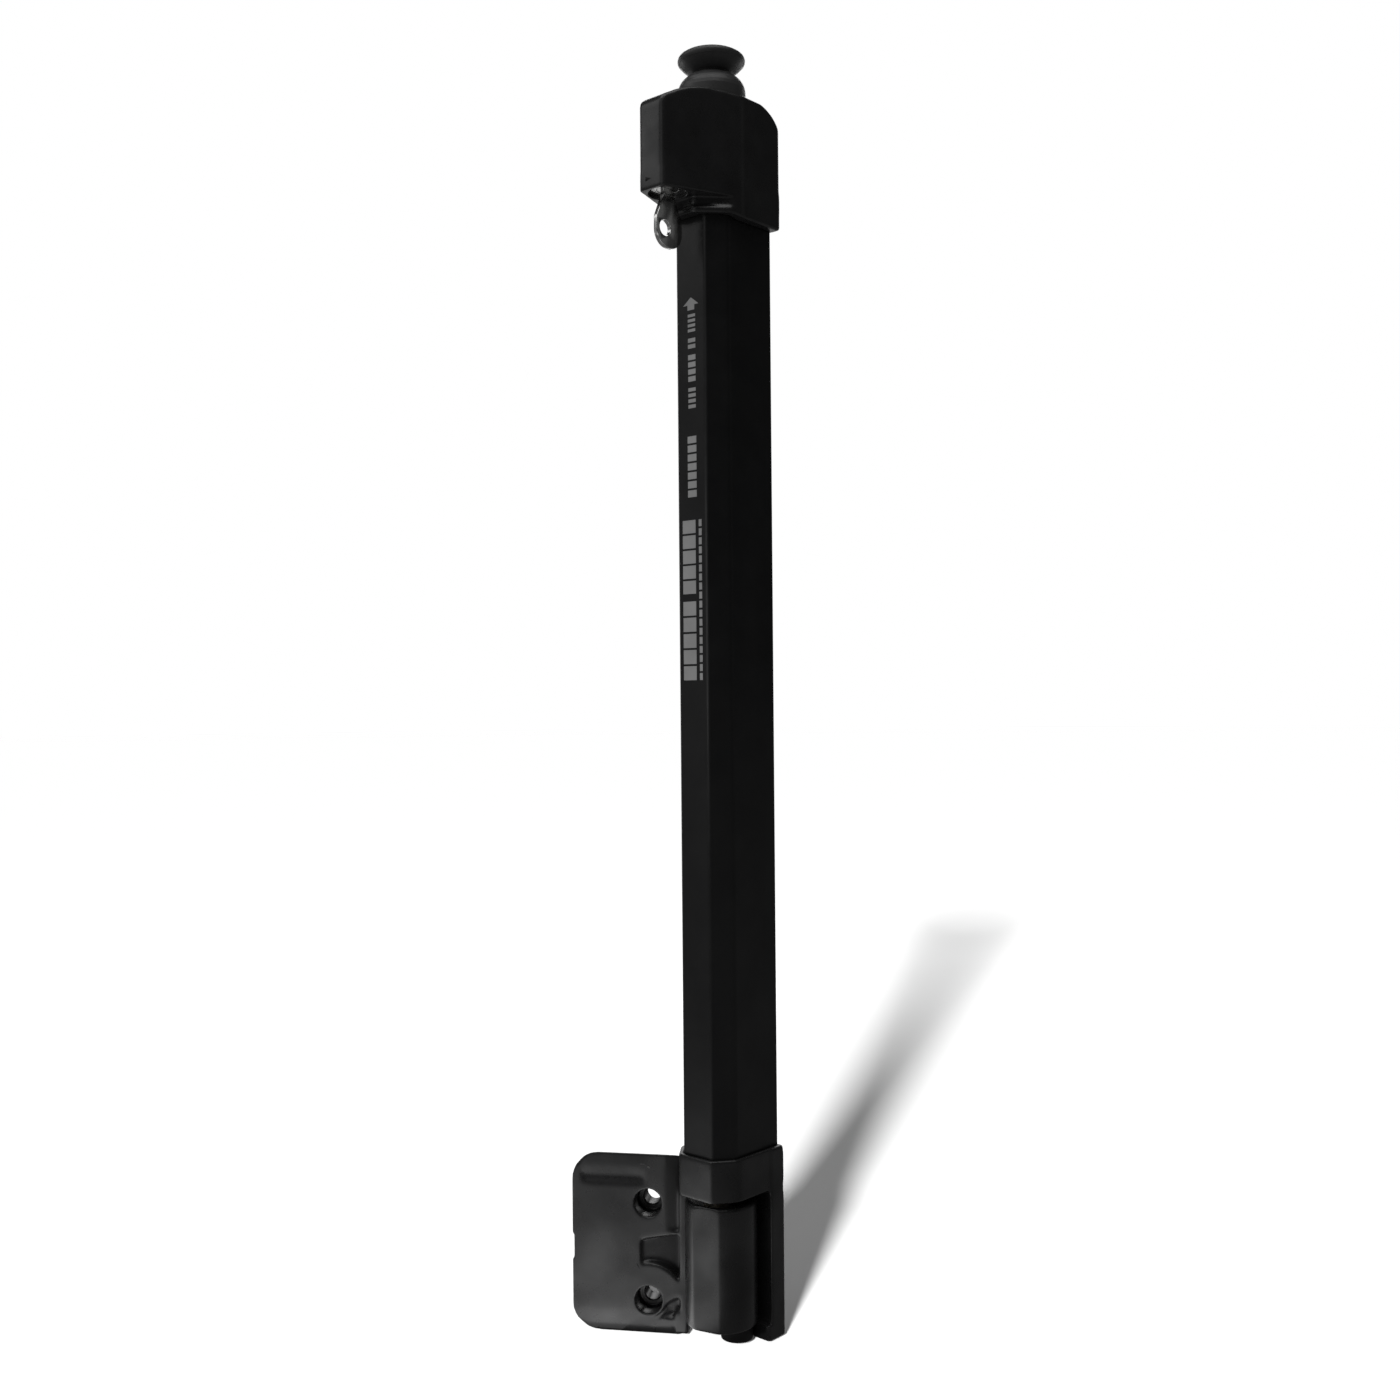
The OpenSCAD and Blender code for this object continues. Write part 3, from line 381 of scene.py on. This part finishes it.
CAD_SMOOTHING = smoothing_nodes("cad_smoothing", 32)
SOFT_SMOOTHING = smoothing_nodes("soft_smoothing", 40)


def smooth(obj, nodes):
    """Adds the smoothing to a piece as a modifier, which leaves its mesh as it is."""
    obj.modifiers.new("smoothing", "NODES").node_group = nodes


def apply_modifiers(obj):
    """Replaces a piece's mesh with what its modifiers make of it."""
    bpy.context.view_layer.update()
    made = bpy.data.meshes.new_from_object(obj.evaluated_get(bpy.context.evaluated_depsgraph_get()))
    obj.modifiers.clear()
    obj.data = made


# The share of the way to its neighbours' middle that a point goes in one turn
PULL = 0.5
# The turns that even out a skin once it is thinned
LAST_TURNS = 2


def relax(mesh, turns, mask=None):
    """Draws each point towards its neighbours' middle, which rounds edges and fills sharp corners.
    The mask gives each point's share of the pull from its place in millimetres."""
    count = len(mesh.vertices)
    points = np.empty(count * 3)
    mesh.vertices.foreach_get("co", points)
    points = points.reshape(-1, 3)
    ends = np.empty(len(mesh.edges) * 2, dtype=np.int64)
    mesh.edges.foreach_get("vertices", ends)
    ends = ends.reshape(-1, 2)
    links = np.bincount(ends.ravel(), minlength=count)
    share = PULL
    if mask:
        x, y, z = points.T / MM
        share = PULL * mask(x, y - PIN_Y / MM, z - FLOOR_Z / MM)[:, None]
    for _ in range(turns):
        total = np.empty_like(points)
        for k in range(3):
            total[:, k] = np.bincount(ends[:, 0], points[ends[:, 1], k], count)
            total[:, k] += np.bincount(ends[:, 1], points[ends[:, 0], k], count)
        points += share * (total / links[:, None] - points)
    mesh.vertices.foreach_set("co", points.ravel())
    mesh.update()


def remake(node, cell, turns, keep, masks):
    """A CAD node remade as one even skin, with its edges and inner corners rounded as a mould leaves them.
    The cell is the skin's mesh size in millimetres, and keep is the share of its faces left at the end.
    Each mask gets more turns of its own."""
    obj = finish_mesh(frame["nodes"][node].data.copy(), node + "_skin", SLOT_OF[node], BODY_OF[node])
    remesh = obj.modifiers.new("skin", "REMESH")
    remesh.mode = "VOXEL"
    remesh.voxel_size = cell * MM
    apply_modifiers(obj)
    relax(obj.data, turns)
    for more, mask in masks:
        relax(obj.data, more, mask)
    thin = obj.modifiers.new("thin", "DECIMATE")
    thin.ratio = keep
    apply_modifiers(obj)
    relax(obj.data, LAST_TURNS)
    for face in obj.data.polygons:
        face.use_smooth = True
    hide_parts(node)


# Points nearer than this, in metres, are one point, and faces that turn by less than this are one face
SAME_POINT = 2e-6
SAME_FACE = math.radians(0.6)
# Edges that turn by more than this are rounded, in so many steps
ROUND_ABOVE = math.radians(30)
ROUND_STEPS = 3


def soften(node, width):
    """A copy of a CAD node with its sharp edges rounded, by a width in millimetres."""
    mesh = frame["nodes"][node].data.copy()
    bm = bmesh.new()
    bm.from_mesh(mesh)
    bmesh.ops.remove_doubles(bm, verts=bm.verts, dist=SAME_POINT)
    bmesh.ops.dissolve_limit(bm, angle_limit=SAME_FACE, verts=bm.verts, edges=bm.edges,
                             use_dissolve_boundaries=False)
    bm.to_mesh(mesh)
    bm.free()
    obj = finish_mesh(mesh, node + "_soft", SLOT_OF[node], BODY_OF[node])
    bevel = obj.modifiers.new("round", "BEVEL")
    bevel.width = width * MM
    bevel.segments = ROUND_STEPS
    bevel.limit_method = "ANGLE"
    bevel.angle_limit = ROUND_ABOVE
    bevel.use_clamp_overlap = False
    bevel.miter_outer = "MITER_ARC"
    smooth(obj, SOFT_SMOOTHING)
    apply_modifiers(obj)
    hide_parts(node)


# Places in millimetres along the block's face and above the floor: the face's ends, its gate holes and how
# far round them the skin stays as it is, the band's middle and reach, and how far the wedge reaches left of
# the lower gate hole's axis and above it, and where it ends below
SWIVEL = math.radians(32.3)
BLOCK_LEFT, BLOCK_RIGHT, BLOCK_LOW, BLOCK_TOP = -60.2, -15.8, 1.5, 71.3
GATE_X, GATE_ZS, GATE_REACH = -30.6, (13.8, 53.2), 6.2
BAND_Z, BAND_REACH = 63.8, 6
WEDGE_ASIDE, WEDGE_UP, WEDGE_LOW = 1, 4, 2.5
# Heights in millimetres: where the head's sides begin and the skirt ends, and the collar's rims and their
# reach
HEAD_LOW, SKIRT_TOP = 459, 453
RIM_ZS, RIM_REACH = (77.5, 60.8), 3
# The width in millimetres over which most masks fade
FADE = 2


def ramp(value, width=1):
    """0 below zero, rising to 1 over the width."""
    return np.clip(value / width, 0, 1)


def near(value, middle, reach):
    """1 within half the reach of the middle, fading to 0 at the reach."""
    return np.clip(2 - 2 * np.abs(value - middle) / reach, 0, 1)


def across_block(x, y):
    """The place along the block's face, left of the pin where it is below 0."""
    return x * math.cos(SWIVEL) + y * math.sin(SWIVEL)


def block_face(x, y, z):
    """1 on the block's front where its recesses lie, 0 at its rims and round its gate holes."""
    across = across_block(x, y)
    inside = np.minimum.reduce([across - BLOCK_LEFT, BLOCK_RIGHT - across, z - BLOCK_LOW, BLOCK_TOP - z])
    clear = np.minimum.reduce([np.hypot(across - GATE_X, z - h) - GATE_REACH for h in GATE_ZS])
    return ramp(np.minimum(inside / FADE, clear))


def groove(x, y, z):
    """1 in the band across the block's upper part."""
    return block_face(x, y, z) * near(z, BAND_Z, BAND_REACH)


def wedge(x, y, z):
    """1 in the wedge beside and under the lower gate hole."""
    low = ramp(GATE_ZS[0] + WEDGE_UP - z, FADE) * ramp(z - WEDGE_LOW)
    return low * ramp(across_block(x, y) - GATE_X + WEDGE_ASIDE) * block_face(x, y, z)


def head_sides(x, y, z):
    """1 on the head above its chin."""
    return ramp(z - HEAD_LOW, FADE)


def skirt(x, y, z):
    """1 on the skirt under the head's chin."""
    return ramp(SKIRT_TOP - z, FADE)


def collar_rims(x, y, z):
    """1 on the collar's upper and lower rims."""
    return np.maximum.reduce([near(z, middle, RIM_REACH) for middle in RIM_ZS])


# Each housing's cell in millimetres, its turns, the share of faces it keeps, and its masks with their turns
REMADE = {
    "striker_body": (0.35, 8, 0.3, [(36, block_face), (80, groove), (70, wedge)]),
    "lower_housing": (0.35, 7, 0.3, [(24, collar_rims)]),
    "upper_housing": (0.32, 6, 0.25, [(40, head_sides), (14, skirt)]),
}
for node, values in REMADE.items():
    remake(node, *values)
ROUNDED = {
    "striker_back_cover": 0.3, "barrel_plug": 0.4, "key": 0.25, "lock_body": 0.2,
    "lower_screw_plate": 0.3, "upper_screw_plate": 0.3,
}
for node, width in ROUNDED.items():
    soften(node, width)
for node, obj in frame["nodes"].items():
    if node not in ROUNDED:
        smooth(obj, CAD_SMOOTHING)


# Marks printed on the tube's front, in millimetres: the place of the front's face, how far a mark stands
# out of it and sinks in, and the gap between two blocks of a row
MARK_FACE = -13.45
MARK_PROUD = 0.05
MARK_GAP = 0.8
# The marks count as this slot of the record, which has none for ink
MARK_SLOT = "guide_nylon"


def mark(name, outlines):
    """A printed mark, made of thin closed plates with these outlines in X and Z."""
    bm = bmesh.new()
    for outline in outlines:
        back = [bm.verts.new(place(x, MARK_FACE + MARK_PROUD, z)) for x, z in outline]
        front = [bm.verts.new(place(x, MARK_FACE - MARK_PROUD, z)) for x, z in outline]
        bm.faces.new(reversed(back))
        bm.faces.new(front)
        for i, spot in enumerate(back):
            j = (i + 1) % len(back)
            bm.faces.new((spot, back[j], front[j], front[i]))
    bmesh.ops.recalc_face_normals(bm, faces=bm.faces)
    mesh = bpy.data.meshes.new(name)
    bm.to_mesh(mesh)
    bm.free()
    obj = finish_mesh(mesh, name, MARK_SLOT, BODY_OF["body_tube"])
    dress(obj, "mark_ink")


def blocks(left, right, low, high, count):
    """The outlines of so many equal blocks, one above the other."""
    size = (high - low - (count - 1) * MARK_GAP) / count
    ends = [low + i * (size + MARK_GAP) for i in range(count)]
    return [[(left, z), (right, z), (right, z + size), (left, z + size)] for z in ends]


ARROW = [(-1.7, 410.6), (1.9, 410.6), (1.9, 412.6), (4, 412.6), (0.1, 415.6), (-4, 412.6), (-1.7, 412.6)]
mark("arrow_mark", [ARROW])
# Each row's left, right, lower and upper end, and how many blocks it has
MARK_ROWS = {
    "first_row": (-1.6, 2.3, 372, 380, 4), "second_row": (-1.6, 2.3, 382.5, 393, 4),
    "third_row": (-1.6, 2.3, 395.5, 399.5, 2), "fourth_row": (-1.6, 2.3, 402, 409, 4),
    "middle_row": (-2.2, 2.4, 337, 361, 7), "wide_low_row": (-5.2, 1.6, 265, 296, 5),
    "wide_high_row": (-5.2, 1.6, 299, 328, 5), "thin_row": (3.3, 4.8, 265, 328, 18),
}
for name, row in MARK_ROWS.items():
    mark(name, blocks(*row))


# Floor: its radius in metres and sides, its grey and glow to the camera, and its grey in reflections
FLOOR_R = 12
FLOOR_SIDES = 96
FLOOR_GREY = 0.25
FLOOR_GLOW = 0.06
FLOOR_DIM = 0.028


def diffuse_node(tree, grey):
    node = tree.nodes.new("ShaderNodeBsdfDiffuse")
    node.inputs["Color"].default_value = (grey, grey, grey, 1)
    return node


def make_floor():
    """A floor that looks white and seamless to the camera, and is darker in reflections."""
    bm = bmesh.new()
    bmesh.ops.create_circle(bm, cap_ends=True, segments=FLOOR_SIDES, radius=FLOOR_R)
    mesh = bpy.data.meshes.new("floor")
    bm.to_mesh(mesh)
    bm.free()
    floor = bpy.data.objects.new("floor", mesh)
    floor.location.z = FLOOR_Z
    scene.collection.objects.link(floor)
    material = bpy.data.materials.new("floor")
    material.use_nodes = True
    tree = material.node_tree
    tree.nodes.clear()
    shown = tree.nodes.new("ShaderNodeAddShader")
    tree.links.new(diffuse_node(tree, FLOOR_GREY).outputs[0], shown.inputs[0])
    tree.links.new(glow_node(tree, "ShaderNodeEmission", FLOOR_GLOW).outputs[0], shown.inputs[1])
    unseen = diffuse_node(tree, FLOOR_DIM)
    seen_or_not(tree, shown, unseen, tree.nodes.new("ShaderNodeOutputMaterial"))
    mesh.materials.append(material)
    return floor


shadow_sun(make_floor())
